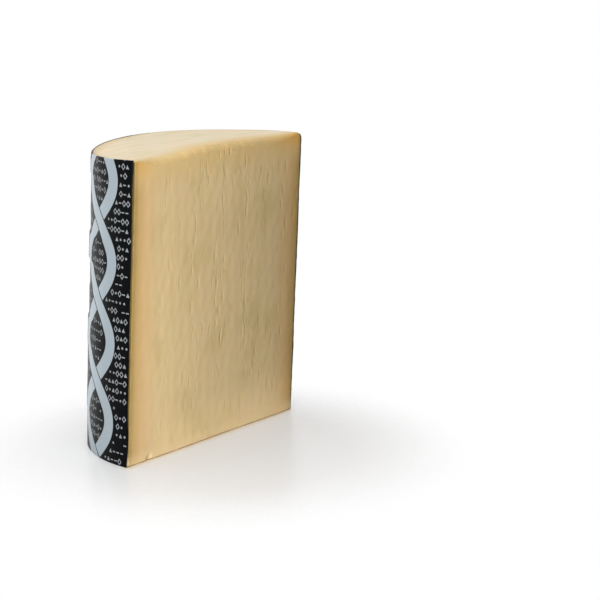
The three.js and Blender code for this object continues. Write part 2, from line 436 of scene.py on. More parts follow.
# Outline of the half log's section: a flat, a round corner, the rind's arc and a round corner, for
# columns of the flat's y, the arc's radius and the corners' radius. A corner's centre stands its
# radius behind the flat and its radius inside the arc.
def sectionOutline(flatY, radius, corner):
    g = cheeseGrid
    centreX = np.sqrt((radius - corner) ** 2 - (flatY + corner) ** 2)
    meet = np.arctan2(flatY + corner, centreX)
    flat = np.linspace(-1, 1, g["flatCount"]) * centreX
    turn = (meet + math.pi / 2) * np.linspace(0, 1, g["cornerCount"] + 2)[1:-1] - math.pi / 2
    arc = meet + (math.pi - 2 * meet) * np.linspace(0, 1, g["arcCount"])
    cornerX = centreX + corner * np.cos(turn)
    cornerY = flatY + corner + corner * np.sin(turn)
    x = np.concatenate([flat, cornerX, radius * np.cos(arc), -cornerX[:, ::-1]], axis=1)
    y = np.concatenate([flatY + 0 * flat, cornerY, radius * np.sin(arc), cornerY[:, ::-1]], axis=1)
    facing = np.clip(-np.sin(turn), 0, 1)
    onCut = np.concatenate([1 + 0 * flat, facing, 0 * arc, facing[:, ::-1]], axis=1)
    return x, y, onCut


# Rows of the half log from the middle of the base to the middle of the top. Each is of one of five
# parts and has a value there: the way out across the base, the turn round the base rim, the
# height's share of the wall, the turn round the top rim, or the way left across the top.
def sectionRows():
    g = cheeseGrid
    baseOut = np.linspace(0, 1, g["baseRows"] + 1)[1:]
    baseTurn = np.linspace(-math.pi / 2, 0, g["baseRimRows"] + 1)[1:]
    wall = np.linspace(0, 1, g["wallRows"] + 1)[1:-1]
    topTurn = np.linspace(0, math.pi / 2, g["topRimRows"] + 1)[:-1]
    topLeft = np.linspace(1, 0, g["topRows"] + 1)[:-1]
    parts = [baseOut, baseTurn, wall, topTurn, topLeft]
    part = np.repeat(np.arange(5), [len(values) for values in parts])
    return part[:, None], np.concatenate(parts)[:, None]


# How much rounder the cut face's upper edge is than at its ends = (what it gains at most + slow
# waves + a ripple) * a soft step from each end.
def upperRounding(x):
    gained = log["cutTopRound"] - log["cutTopEnd"]
    gained = gained + looseWaves(x, 0 * x, *log["cutTopWaves"])
    gained = gained + looseWaves(x, 0 * x, *log["cutTopRipple"])
    fromNear = blend(0, log["growthNear"], rindRadius + x)
    return gained * fromNear * blend(0, log["growthFar"], rindRadius - x)


# The half log before it wanders: outlines set in by quarter circles at the rims and drawn to the
# caps' middles, at heights that follow the quarter circles, an even rise between them and the
# flat caps.
def plainHalfLog(part, value, turn, left):
    middle = cheeseGrid["middleY"]
    onCap = (part == 0) | (part == 4)
    inset = np.where(onCap, 1, 1 - np.cos(turn))
    atBase = part <= 1
    flatY = inset * np.where(atBase, log["cutBaseRound"], log["cutTopEnd"])
    radius = rindRadius - inset * np.where(atBase, log["baseRim"], log["topRim"])
    corner = np.maximum(log["cutSideRound"] - flatY, cheeseGrid["leastCorner"])
    x, y, onCut = sectionOutline(flatY, radius, corner)
    rounder = upperRounding(x) * onCut * (part >= 2)
    baseRim = log["baseRim"] + (log["cutBaseRound"] - log["baseRim"]) * onCut
    topRim = log["topRim"] + (log["cutTopEnd"] - log["topRim"]) * onCut + rounder
    y = y + rounder * inset
    rise = np.where(part == 2, value, 0)
    z = np.select(
        [part == 0, part == 1, part == 2, part == 3],
        [0 * x, baseRim * (1 + np.sin(turn)), baseRim + (height - topRim - baseRim) * rise,
         height - topRim * (1 - np.sin(turn))],
        height + 0 * x,
    )
    return x * left, middle + (y - middle) * left, z, onCut


# Place = plain place * wander, with the relief of the cut face, the sag of the top, its worn
# shoulder and the far end. Fans of triangles close the base and the top.
def buildCheese():
    g = cheeseGrid
    part, value = sectionRows()
    onCap = (part == 0) | (part == 4)
    turn = np.where((part == 1) | (part == 3), value, 0)
    left = np.where(onCap, value, 1)  # of the way from a cap's middle
    x, y, z, onCut = plainHalfLog(part, value, turn, left)
    # How far a place is from the film's edge, by the way round the upright corner.
    inward, forward = g["roundCorner"]
    fromFilm = (rindRadius - np.abs(x)) * inward - y * forward
    angle = np.arctan2(y, x)
    change = offRound(angle, z) + stepsAround(angle, z)
    wandering = 1 + change * np.hypot(x, y) / rindRadius ** 2
    x, y = x * wandering, y * wandering
    depth, pits = cutRelief(x, z)
    y = y + depth * onCut * left**2
    topShare = np.where(part == 4, 1, np.where(part == 3, np.sin(turn) ** 2, 0))
    sag = log["topSag"] + looseWaves(x, y, *log["topWaves"])
    z = z - topShare * sag - shoulderFall(x, y, z)
    x, z = shapeFarEnd(x, z)
    rows, ring = x.shape
    poles = np.array([[0, g["middleY"], 0], [0, g["middleY"], height - log["topSag"]]])
    around = np.arange(ring)
    beside = np.roll(around, -1)
    base = np.stack([rows * ring + 0 * around, beside, around], axis=-1)
    top = np.stack([base[:, 0] + 1, around + (rows - 1) * ring, beside + (rows - 1) * ring], axis=-1)
    places = np.concatenate([np.stack([x, y, z], axis=-1).reshape(-1, 3), poles])
    fans = base.tolist() + top.tolist()
    piece = gridMesh("cheese_paste", intoFrame(*places.T), rows, ring, fans)
    setNumbers(piece, "place", places)
    setNumbers(piece, "pitDepth", withPoles(pits * onCut * ~onCap, 0))
    setNumbers(piece, "topShare", withPoles(topShare + 0 * x, 1))
    setNumbers(piece, "cutShare", withPoles(onCut * ~onCap, 0))
    setNumbers(piece, "fromFilm", withPoles(fromFilm, g["middleFromFilm"]))
    setMap(piece, *cheeseMap(x, y, part[:, 0], places[base], places[top]))
    return piece


# Values of the grid, and of the middles of the base and of the top.
def withPoles(values, atTop):
    return np.append(values.ravel(), [0, atTop])


# The map's four fields. On the wall the cut face and the rind are spread by the way round the
# section and up it. The base and the top lie as they are seen from outside.
def cheeseMap(x, y, part, base, top):
    g, b = cheeseGrid, bakeMap
    ring = x.shape[1]
    x, y = np.hstack([x, x[:, :1]]), np.hstack([y, y[:, :1]])
    middle = len(part) // 2
    around = np.append(0, np.cumsum(np.hypot(np.diff(x[middle]), np.diff(y[middle]))))
    wall = (part[1:] > 0) & (part[:-1] < 4)
    corners = gridCorners(around[None, :], np.arange(len(part))[:, None])
    half = g["cornerCount"] // 2
    column = np.arange(ring)
    corners[:, column >= ring - half, :, 0] -= around[-1]
    onRind = (column >= g["flatCount"] + half) & (column < ring - half)
    corners[:, onRind, :, 0] = fitSpan(corners[:, onRind, :, 0], b["rindStart"], b["high"])
    corners[:, ~onRind, :, 0] = fitSpan(corners[:, ~onRind, :, 0], b["low"], b["cutEnd"])
    corners[wall, :, :, 1] = fitSpan(corners[wall, :, :, 1], b["low"], b["cutEnd"])
    seen = gridCorners(x, y)
    corners[part[1:] == 0] = capMap(seen[part[1:] == 0], -1)
    corners[part[:-1] == 4] = capMap(seen[part[:-1] == 4], 1)
    return corners, capMap(base, -1), capMap(top, 1)


# A cap's place in the map = its start + (place + margin) * scale. The base, whose side is -1, is
# mirrored in x.
def capMap(places, side):
    b = bakeMap
    scale, start = (b["topScale"], b["low"]) if side > 0 else (b["baseScale"], b["baseStart"])
    u = start + (side * places[..., 0] + rindRadius + b["capMargin"]) * scale
    return np.stack([u, b["capStart"] + (places[..., 1] + b["capMargin"]) * scale], axis=-1)


filmForm = {
    "arcCount": 200,
    "wallRows": 128,
    "rimRows": 10,
    "bottom": 0.35,
    "innerClearance": 0.3,
    "thinning": 0.4,  # the share of its clearance that it loses up to its top edge
    "foldLeast": 20.0,  # how far it follows round the top rim
    "foldMost": 45.0,
    "foldLeft": (55, 100),  # turns where it folds more, on the left and at the far end
    "foldFar": (4, 20),
    "topRise": 0.7,  # of its top edge towards the left upright edge
    "topRiseAlong": (0.11, 0),
    "topRiseUp": (235, 249),
    "cutInset": 1.1,  # how far its upright edges stay behind the cut face
    "edgeWave": 0.15,
    "edgeReach": 17,  # height in which that wave goes on by one radian
    "edgeStartFar": 2,
    "edgeRipple": (0.12, 14, 6, 41),
    "lowReach": 1.5,  # how much farther out the left edge comes, near its lower end
    "lowReachAt": 24,
    "lowReachSpread": 9.19,
    "topReach": 0.9,
    "topReachUp": (228, 247),
    "slack": 0.096,
    "wrinkles": (0.08, 70, 7, 42),
    "wrinkleStretch": 1.6,
    "creases": (0.04, 16, 8, 43),
    "creaseStretch": 2.5,
    "lift": (0.096, 38, 4, 44),
    "liftWide": 14,
}


# The film's section is a loop: up its outer side, over its top edge and down its inner side. Each
# point has a turn round the top rim, a height and a clearance from the rind, and place = the rim's
# middle + (rim + clearance) * direction(turn).
def filmSection(share):
    f = filmForm
    rimCentre = height - log["topRim"]
    wall = np.linspace(f["bottom"], rimCentre, f["wallRows"])
    # It folds less at the back of the log.
    flatAngle = 180 * (1 - share)
    folded = blend(*f["foldLeft"], flatAngle) + 1 - blend(*f["foldFar"], flatAngle)
    fold = f["foldLeast"] + (f["foldMost"] - f["foldLeast"]) * folded
    bent = np.concatenate([0 * wall, np.linspace(0, 1, f["rimRows"] + 1)[1:]])
    heights = np.concatenate([wall, np.full(f["rimRows"], rimCentre)])
    # It thins towards its top edge, where it lies close on the rim.
    thin = 1 - f["thinning"] * bent**2
    bent, heights, thin = (np.concatenate([a, a[::-1]]) for a in (bent, heights, thin))
    turns = np.radians(fold) * bent
    outer = np.repeat([1.0, 0.0], len(bent) // 2)
    clearance = np.where(outer == 1, log["filmClearance"], f["innerClearance"]) * thin
    radius = rindRadius - log["topRim"] + (log["topRim"] + clearance) * np.cos(turns)
    z = heights + (log["topRim"] + clearance) * np.sin(turns)
    z = z + f["topRise"] * blend(*f["topRiseAlong"], share) * blend(*f["topRiseUp"], z)
    return radius, z, turns, outer


# How far the upright edges stay behind the cut face = an even way + a wave, another at the far
# edge + a ripple - the ways that the left edge comes farther out near its lower and upper ends.
def filmInset(share, z):
    f = filmForm
    onLeft = share < 0.5
    wave = np.sin(z / f["edgeReach"] + np.where(onLeft, 0, f["edgeStartFar"]))
    inset = f["cutInset"] + f["edgeWave"] * wave
    inset = inset + looseWaves(z, 0 * z, *f["edgeRipple"])
    farther = f["lowReach"] * bell(z, f["lowReachAt"], f["lowReachSpread"])
    farther = farther + f["topReach"] * blend(*f["topReachUp"], z)
    return inset - np.where(onLeft, farther, 0)


# How loosely the film lies = some slack + wide wrinkles + narrow creases + a lift near the upright
# edges.
def filmLooseness(along, fromEdge, z):
    f = filmForm
    loose = f["slack"] + looseWaves(along, z / f["wrinkleStretch"], *f["wrinkles"])
    loose = loose + looseWaves(along / f["creaseStretch"], z, *f["creases"])
    return loose + blend(f["liftWide"], 0, fromEdge) * looseWaves(z, 0 * z, *f["lift"])


# The section swept round the rind: place = (radius + wander + steps + looseness of the outer side)
# * direction(angle), with the worn shoulder and the far end.
def buildFilm():
    share = np.linspace(0, 1, filmForm["arcCount"])[:, None]
    radius, z, turns, outer = filmSection(share)
    first = np.arcsin(filmInset(share, z) / rindRadius)
    angle = math.pi - first - (math.pi - 2 * first) * share
    along = (math.pi - angle) * outerRadius  # from the left edge round the rind
    fromEdge = np.minimum(along, angle * outerRadius)
    loose = filmLooseness(along, fromEdge, z) * outer * np.cos(turns)
    away = radius + offRound(angle, z) + stepsAround(angle, z) + loose
    x, y = away * np.cos(angle), away * np.sin(angle)
    x, z = shapeFarEnd(x, z - shoulderFall(x, y, z))
    outer = np.broadcast_to(outer, x.shape)
    columns, ring = x.shape
    # Faces across the section close its two upright edges.
    number = np.arange(ring // 2 - 1)
    across = ring - 1 - number
    leftEdge = np.stack([number, across, across - 1, number + 1], axis=1)
    rightEdge = leftEdge[:, ::-1] + (columns - 1) * ring
    edges = leftEdge.tolist() + rightEdge.tolist()
    piece = gridMesh("film_printed", intoFrame(x, y, z), columns, ring, edges)
    setNumbers(piece, "print", np.stack([along + 0 * z, z, outer], axis=-1))
    setMap(piece, *filmMap(share[:, 0], ring))
    return piece


# The outer side fills most of the map, by the way round and up. The inner side and the edges are
# squeezed into strips below it.
def filmMap(share, ring):
    b = bakeMap
    number = np.arange(ring + 1)
    side = ring // 2 - 1
    corners = gridCorners(share[:, None], number[None, :])
    corners[:, :side, :, 1] = fitSpan(corners[:, :side, :, 1], b["filmOutside"], b["high"])
    corners[:, side:, :, 1] = fitSpan(corners[:, side:, :, 1], b["filmInside"], b["low"])
    corners[..., 0] = fitSpan(corners[..., 0], b["low"], b["high"])
    ends = b["low"] + number[:side + 1] / side * b["edgeLength"]
    low, high = ends[:-1], ends[1:]
    bottom, top = (edge + 0 * low for edge in b["filmEdge"])
    u = np.stack([low, low, high, high], axis=1)
    v = np.stack([bottom, top, top, bottom], axis=1)
    leftEdge = np.stack([u, v], axis=-1)
    return corners, leftEdge, leftEdge[:, ::-1] + (b["edgePitch"], 0)


# A colour as a web page would write it, turned into light values.
def ink(code):
    parts = [int(code[i:i + 2], 16) / 255 for i in (1, 3, 5)]
    return (*[c / 12.92 if c <= 0.04045 else ((c + 0.055) / 1.055) ** 2.4 for c in parts], 1.0)


class Wire:
    # A value in a material. Python's operators on it add Math nodes.
    def __init__(self, sheet, socket):
        self.sheet, self.socket = sheet, socket

    def __add__(self, other):
        return self.sheet.calc("ADD", self, other)

    def __sub__(self, other):
        return self.sheet.calc("SUBTRACT", self, other)

    def __rsub__(self, other):
        return self.sheet.calc("SUBTRACT", other, self)

    def __mul__(self, other):
        return self.sheet.calc("MULTIPLY", self, other)

    def __truediv__(self, other):
        return self.sheet.calc("DIVIDE", self, other)

    def __gt__(self, other):
        return self.sheet.calc("GREATER_THAN", self, other)

    def __lt__(self, other):
        return self.sheet.calc("LESS_THAN", self, other)

    def __neg__(self):
        return self.sheet.calc("MULTIPLY", self, -1.0)

    def __abs__(self):
        return self.sheet.calc("ABSOLUTE", self)

    __radd__ = __add__
    __rmul__ = __mul__


class Finish:
    # The nodes of a material or of the sky. They all come from node(), Math nodes by way of calc().
    def __init__(self, owner):
        self.owner = owner
        self.owner.use_nodes = True
        self.tree = owner.node_tree
        self.tree.nodes.clear()

    def node(self, kind, settings=None, sockets=None, out=0):
        made = self.tree.nodes.new("ShaderNode" + kind)
        for key, value in (settings or {}).items():
            setattr(made, key, value)
        for key, value in (sockets or {}).items():
            if isinstance(value, Wire):
                self.tree.links.new(value.socket, made.inputs[key])
            else:
                made.inputs[key].default_value = ink(value) if isinstance(value, str) else value
        return Wire(self, made.outputs[out]) if len(made.outputs) else None

    def calc(self, operation, *values):
        return self.node("Math", {"operation": operation}, dict(enumerate(values)))

    def distance(self, x, y):
        return self.calc("SQRT", x * x + y * y)

    def number(self, name):
        return self.node("Attribute", {"attribute_name": name}, out="Fac")

    def vector(self, name):
        return self.node("Attribute", {"attribute_name": name}, out="Vector")

    def split(self, vector):
        made = self.node("SeparateXYZ", None, {0: vector})
        return [Wire(self, socket) for socket in made.socket.node.outputs]

    def join(self, x, y, z=0.0):
        return self.node("CombineXYZ", None, {0: x, 1: y, 2: z})

    # 0 below low and 1 above high, with a soft step between.
    def step(self, value, low, high):
        return self.node("MapRange", {"interpolation_type": "SMOOTHSTEP", "clamp": True},
                         {0: value, 1: low, 2: high, 3: 0.0, 4: 1.0})

    # The reverse of step: 1 below low and 0 above high.
    def fall(self, value, low, high):
        return 1 - self.step(value, low, high)

    # A noise that has its own scale along each of the vector's ways.
    def noise(self, vector, scales, detail, rough):
        scaled = self.node("VectorMath", {"operation": "MULTIPLY"}, {0: vector, 1: scales})
        return self.node("TexNoise", None, {
            "Vector": scaled, "Scale": 1.0, "Detail": detail, "Roughness": rough}, "Fac")

    def mix(self, share, first, second, way="MIX"):
        return self.node("Mix", {"data_type": "RGBA", "blend_type": way},
                         {0: share, 6: first, 7: second}, 2)

    # The first value where the choice is 0, and the second where it is 1.
    def choose(self, choice, first, second):
        return self.node("Mix", {"data_type": "FLOAT"}, {0: choice, 2: first, 3: second})

    # A colour covered by others of a palette, one over another, each by its share.
    def cover(self, colour, palette, **shares):
        for name, share in shares.items():
            colour = self.mix(share, colour, palette[name])
        return colour

    # A colour made lighter or darker.
    def shaded(self, colour, shade):
        return self.mix(1.0, colour, self.join(shade, shade, shade), "MULTIPLY")

    def bump(self, raised, strength, distance):
        return self.node("Bump", None, {"Strength": strength, "Distance": distance, "Height": raised})

    def surface(self, shader):
        self.node("OutputMaterial", None, {0: shader})
        return self.owner


paste = {
    "heart": "#d8bf8e",
    "olive": "#cfb784",
    "rosy": "#dcc094",
    "outer": "#d5b380",
    "edge": "#dcbd82",
    "corner": "#d6a455",
    "nearRind": "#bf9f63",
    "rind": "#594819",
    # Painted floor bounce light near the base.
    "lowest": "#e3cda0",
    # A brown crust along the base, with a painted contact shadow.
    "baseLine": "#6f5524",
    # The top's cream is partly its own paler colour and partly a painted sheen.
    "top": "#e1d1b1",
    "topRosy": "#e7ceac",
    "topOlive": "#d9ca9e",
    "topRim": "#cfb784",
    "topRimLine": "#6f5a36",
    # Painted shade in pits, slits and cracks.
    "pit": "#ad8a4d",
    "streak": "#dcc79a",
}
# Scales of the paste's noises along x, y and z, to a millimetre, with their detail and roughness.
# The cracks and their breaks lie on the cut face, where the second scale is the one upwards.
noises = {
    "uneven": ((0.05, 0.05, 0.05), 3.0, 0.5),
    "streaks": ((0.15, 0.15, 0.042), 4.0, 0.6),
    "grain": ((0.9, 0.9, 0.9), 3.0, 0.6),
    "blotches": ((0.03, 0.03, 0.017), 3.0, 0.55),
    "clouds": ((0.022, 0.022, 0.022), 3.0, 0.5),
    "topBlotches": ((0.02, 0.11, 1.0), 4.0, 0.6),
    "cracks": ((0.055, 0.009, 1.0), 2.0, 0.5),
    "breaks": ((0.05, 0.06, 1.0), 2.0, 0.5),
}
# Where the paste's zones begin and end, in millimetres.
zones = {
    "rightward": (-70.0, 45.0),  # along the cut
    "outer": (10.0, 36.0),  # in from the sides
    "nearRind": (1.5, 17.0),
    "edge": (2.0, 20.0),  # from the edge between the cut face and the top
    "topEdge": (6.0, 31.0),
    "corner": (1.0, 13.0),
    "cornerSide": (2.0, 28.0),  # in from the sides
    "lowest": (1.5, 13.0),  # up from the base
    "baseLine": (0.4, 1.5),
    "skinEdge": (-0.3, 0.9),  # from the film's edge, forwards
    "skinAndShadow": (-0.6, 4.2),
    "tornIn": (14.0, 40.0),  # in from the sides, where slits and cracks set in
    "tornUp": (4.0, 20.0),
    "tornTop": (225.0, 242.0),
    "cracked": (-70.0, 0.0),  # along the cut
    "topRim": (0.0, 7.0),  # in from the rind
    "topRimLine": (0.4, 2.2),
    "pit": (0.04, 0.4),  # in depth
}
# How far the unevenness moves their borders, and the way to the right that of the far corner.
sways = {
    "farCorner": 25,
    "outer": 14,
    "nearRind": 3,
    "fromEdge": 9,
    "lowest": 6,
    "baseLine": 2.4,
    "topRim": 5,
    "topRimLine": 2,
}
# Which values of a noise, or of the share of the top, count.
levels = {
    "heart": (0.34, 0.5),
    "rosy": (0.52, 0.7),
    "streak": (0.45, 0.75),
    "slitted": (0.4, 0.6),
    "top": (0.36, 0.5),
    "topRosy": (0.5, 0.64),
    "onTop": (0.25, 0.98),
    "crackLine": (0.0, 0.028),
    "unbroken": (0.5, 0.62),
}
# How strongly a colour covers those below it. A pair is its strength at the left, and how much it
# gains on the right.
strengths = {
    "rosy": 0.8,
    "streak": (0.1, 0.1),
    "edge": 0.85,
    "corner": (0.75, 0.22),
    "lowest": 0.45,
    "baseLine": 0.7,
    "pit": 0.25,
    "slit": 0.08,
    "crack": 0.18,
    "topRim": (0.6, 0.25),  # gains at the back
    "topRimLine": 0.8,
}
# What raises and sinks the surface, roughens it, and lightens or darkens it, the far corner by painted
# light.
bumps = {"grain": 0.15, "streak": (0.04, 0.06), "slit": 0.15, "crack": 0.25}
roughness = {"least": 0.40, "grain": 0.16, "top": 0.08, "skinAndShadow": 0.4, "baseLine": 0.4}
shades = {"least": 0.97, "clouds": 0.07, "grain": 0.03, "farCorner": 0.1}


# 1 in a zone and 0 past it, with an uneven border.
def within(m, name, distance, uneven):
    return m.fall(distance + uneven * sways[name], *zones[name])


# The paste is straw yellow in the middle of the cut face, deeper towards the rind, brown on it and
# cream on top, a cream that is partly its own paler colour and partly a painted sheen, with soft
# blotches. Zones are told by the distances to the rind, side and top edge.
def pasteFinish():
    m = Finish(bpy.data.materials.new("cheesePaste"))
    place = m.vector("place")
    x, y, z = m.split(place)
    topShare, cutShare = m.number("topShare"), m.number("cutShare")
    toSide = rindRadius - abs(x)
    uneven = m.noise(place, *noises["uneven"]) - 0.5
    # How far the edge between the cut face and the top is, down the face or across the top.
    toEdge = (height - z) * 0.65 + m.calc("MAXIMUM", y, 0.0) + uneven * sways["fromEdge"]
    streaks, grain, blotches = (
        m.noise(place, *noises[name]) for name in ("streaks", "grain", "blotches"))
    rightward = m.step(x, *zones["rightward"])
    colour = m.cover(
        m.mix(m.step(blotches, *levels["heart"]), paste["olive"], paste["heart"]), paste,
        rosy=m.step(blotches, *levels["rosy"]) * strengths["rosy"],
        streak=m.step(streaks, *levels["streak"]) * sized(strengths["streak"], rightward),
        outer=within(m, "outer", toSide, uneven),
        nearRind=within(m, "nearRind", toSide, uneven),
        edge=m.fall(toEdge, *zones["edge"]) * strengths["edge"],
    )
    onTop = m.step(topShare, *levels["onTop"])
    colour = m.mix(onTop, colour, topPasteWithSheen(m, x, y, toEdge, uneven))
    # The corners between the sides and the upper edge, the far one wider.
    cornerStart, cornerEnd = zones["cornerSide"]
    corner = m.fall(toSide, cornerStart, cornerEnd + rightward * sways["farCorner"])
    corner = corner * m.fall(toEdge, *zones["corner"]) * (1 - topShare * 0.9)
    corner = corner * sized(strengths["corner"], rightward)
    # Brown rind along the film's upright edges, darkened next to the film by a painted shadow of its edge.
    fromFilm = m.number("fromFilm") + uneven
    skinAndShadow = 1 - m.step(fromFilm, *zones["skinEdge"]) * 0.5 - m.step(fromFilm, *zones["skinAndShadow"]) * 0.5
    skinAndShadow = skinAndShadow * (1 - topShare)
    baseLine = within(m, "baseLine", z, uneven)
    torn = m.step(toSide, *zones["tornIn"]) * cutShare
    slit = slitMask(m, x, z) * torn * m.step(z, *zones["tornUp"]) * m.fall(z, *zones["tornTop"])
    slit = slit * m.step(blotches, *levels["slitted"])
    crack = crackMask(m, x, z) * torn * m.step(x, *zones["cracked"])
    pit = m.step(m.number("pitDepth"), *zones["pit"])
    colour = m.cover(
        colour, paste,
        corner=corner,
        rind=skinAndShadow,
        # Painted floor bounce light near the base.
        lowest=within(m, "lowest", z, uneven) * (1 - topShare) * strengths["lowest"],
        # A brown crust along the base, with a painted contact shadow.
        baseLine=baseLine * strengths["baseLine"],
        # Painted shade in pits, slits and cracks.
        pit=pit * strengths["pit"] + slit * strengths["slit"] + crack * strengths["crack"],
    )
    # Random clouds and grain, with painted shade and painted light on the cut face and at the far corner.
    shade = shades["least"] + m.noise(place, *noises["clouds"]) * shades["clouds"]
    shade = shade + grain * shades["grain"] - paintedCutShade(m, x, z, rightward) * cutShare
    shade = shade + corner * rightward * shades["farCorner"]
    raised = grain * bumps["grain"] + streaks * cutShare * sized(bumps["streak"], rightward)
    raised = raised - slit * bumps["slit"] - crack * bumps["crack"]
    rough = roughness["least"] + grain * roughness["grain"] + topShare * roughness["top"]
    rough = rough + skinAndShadow * roughness["skinAndShadow"] + baseLine * roughness["baseLine"]
    shader = m.node("BsdfPrincipled", {"subsurface_method": "RANDOM_WALK"}, {
        "Base Color": m.shaded(colour, shade),
        "Roughness": rough,
        "Specular IOR Level": 0.35,
        "Subsurface Weight": 0.25,
        "Subsurface Radius": (1.0, 0.6, 0.3),
        "Subsurface Scale": 0.004,
        "Normal": m.bump(raised, 0.6, 0.0006),
    })
    return m.surface(shader)


# How much painted shade darkens and painted light lightens parts of the cut face, and where that
# begins and ends, upwards or along the cut.
paintedCutShading = {
    "far": 0.095,
    "farTop": (185.0, 225.0),
    "farFoot": (2.0, 45.0),
    "near": 0.05,
    "nearTop": (0.0, 100.0),
    "light": 0.10,
    "lightTop": (8.0, 50.0),
    "lightAlong": (-88.0, -55.0),
}


# Painted shade darkens the middle of the cut face's far half and low down on its near half, and
# painted floor bounce light lightens it along the base.
def paintedCutShade(m, x, z, rightward):
    d = paintedCutShading
    darker = rightward * m.fall(z, *d["farTop"]) * m.step(z, *d["farFoot"]) * d["far"]
    darker = darker + (1 - rightward) * m.fall(z, *d["nearTop"]) * d["near"]
    return darker - m.step(x, *d["lightAlong"]) * m.fall(z, *d["lightTop"]) * d["light"]


# Where the top's zones change, in millimetres along the cut or in from it.
topChanges = {
    "farEnd": (50.0, 90.0),
    "farNarrower": 12,
    "nearEnd": (-75.0, -25.0),
    "nearNarrower": 9,
    "backIn": (30.0, 90.0),
    "backAlong": (-10.0, 50.0),
    "backWider": 0.45,
}


# The top is pale cream, partly its own colour and partly a painted sheen. Its blotches are drawn out
# along the cut. It is yellower at the cut, less so at both its ends, and at the rim, which has a
# brown line round it.
def topPasteWithSheen(m, x, y, toEdge, uneven):
    t = topChanges
    toRind = rindRadius - m.distance(x, y)
    drawn = m.noise(m.join(x, y, 3.0), *noises["topBlotches"])
    narrower = m.step(x, *t["farEnd"]) * t["farNarrower"]
    narrower = narrower + m.fall(x, *t["nearEnd"]) * t["nearNarrower"]
    atBack = m.step(y, *t["backIn"]) * m.fall(x, *t["backAlong"])
    rim = within(m, "topRim", toRind * (1 - atBack * t["backWider"]), uneven)
    return m.cover(
        m.mix(m.step(drawn, *levels["top"]), paste["topOlive"], paste["top"]), paste,
        topRosy=m.step(drawn, *levels["topRosy"]),
        edge=m.fall(toEdge + narrower, *zones["topEdge"]),
        topRim=rim * sized(strengths["topRim"], atBack),
        topRimLine=within(m, "topRimLine", toRind, uneven) * strengths["topRimLine"],
    )


# Long upright cracks, broken in places: where a noise drawn out upwards passes its middle value.
def crackMask(m, x, z):
    line = m.fall(abs(m.noise(m.join(x, z), *noises["cracks"]) - 0.5), *levels["crackLine"])
    return line * m.step(m.noise(m.join(x, z, 7.0), *noises["breaks"]), *levels["unbroken"])


# In each cell of a stretched grid one narrow upright lens, in some cells only. Within a lens
# 1 - (across / half width) squared - (along / half length) squared is above 0.
def slitMask(m, x, z):
    cellWidth, cellLength, slant, noSlit = 6.5, 17.0, 0.06, 0.6
    cells = m.join((x - z * slant) / cellWidth, z / cellLength)
    found = m.node("TexVoronoi", {"voronoi_dimensions": "2D"}, {"Vector": cells, "Scale": 1.0})
    outputs = found.socket.node.outputs
    middle = Wire(m, outputs["Position"])
    away = m.node("VectorMath", {"operation": "SUBTRACT"}, {0: cells, 1: middle})
    awayX, awayZ, _ = m.split(away)
    luck, size, _ = m.split(Wire(m, outputs["Color"]))
    across = awayX * cellWidth / (0.5 + size * 0.5)
    upright = awayZ * cellLength / (2.5 + size * 3.0)
    lens = m.step(1 - across * across - upright * upright, 0.0, 0.9)
    return lens * (luck > noSlit)


film = {
    "black": "#040506",
    "silver": "#a9b5bc",
    "marks": "#7f8386",
    "speckle": ((1.6, 1.6, 1.0), 2.0, 0.7),  # a noise
    "silverShade": (0.80, 0.4),  # the least, and how much more by the speckle
    "roughness": (0.33, 0.06),
    "silverMetal": 0.65,
    "width": math.pi * outerRadius,
    "middle": 48.0,  # from an upright edge to the middle of the first pair of ribbons
    "pitch": 121.0,  # between pairs
    "reach": 24.0,
    "waveLength": 132.0,
    "ribbon": 6.3,  # half its width
    "gap": 1.3,  # where one ribbon passes under the other
    "softness": 0.22,
    "diamond": (17.0, 21.0),  # half its width and half its height
    "diamondLine": (1.2, 1.6),
    "diamondMargin": 30,  # from an upright edge
}
# The small marks, in millimetres. Each is drawn above its own luck.
marks = {
    "cellWidth": 4.7,
    "cellHeight": 7.3,
    "diamond": (1.9, 2.2),
    "diamondLine": (0.28, 0.5),
    "dotAbove": 0.34,
    "dot": (0.9, 1.15),
    "dashAbove": 0.54,
    "dashWidth": (1.5, 1.7),
    "dashHeight": (0.4, 0.6),
    "arrowAbove": 0.72,
    "arrowSteepness": 1.9,
    "arrowSides": (1.7, 2.0),
    "arrowFoot": (-1.7, -1.5),
    "noneAbove": 0.9,
    "clearOfShapes": 2.3,
    "clearOfEdges": 2.8,
}


# Pairs of ribbons wind round each other up the film. A ribbon's middle is at reach * the sine of
# its height's share of a turn, on one side or the other. For a point, this gives how far it is to
# the side of its pair's middle, its distances from both ribbons, and 1 where the first is on top.
def ribbonDistances(m, u, v):
    half = film["pitch"] / 2
    local = m.calc("WRAP", u, film["middle"] + half, film["middle"] - half) - film["middle"]
    turn = v * (2 * math.pi / film["waveLength"])
    swing = m.calc("SINE", turn) * film["reach"]
    lean = m.calc("COSINE", turn) * (film["reach"] * 2 * math.pi / film["waveLength"])
    upright = m.distance(lean, 1.0)
    first = abs(local - swing) / upright
    second = abs(local + swing) / upright
    return local, first, second, m.step(lean, -0.01, 0.01)


# Distance to a diamond's outline = (the sum of both offsets, each in units of its half size, - 1)
# * the distance from its middle to a side.
def diamondDistance(across, up, halfWidth, halfHeight):
    sides = abs(across) / halfWidth + abs(up) / halfHeight
    return (sides - 1.0) * (halfWidth * halfHeight / math.hypot(halfWidth, halfHeight))


# Distance to the big diamonds' outlines. They stand between the pairs of ribbons, at the heights
# where these cross, but not at the film's upright edges.
def bigDiamonds(m, local, u, v):
    quarter = film["waveLength"] / 4
    betweenPairs = abs(local) - film["pitch"] / 2
    atCrossing = m.calc("WRAP", v, quarter, -quarter)
    distance = diamondDistance(betweenPairs, atCrossing, *film["diamond"])
    atEdge = abs(u - film["width"] / 2) > film["width"] / 2 - film["diamondMargin"]
    return abs(distance + atEdge * 100)


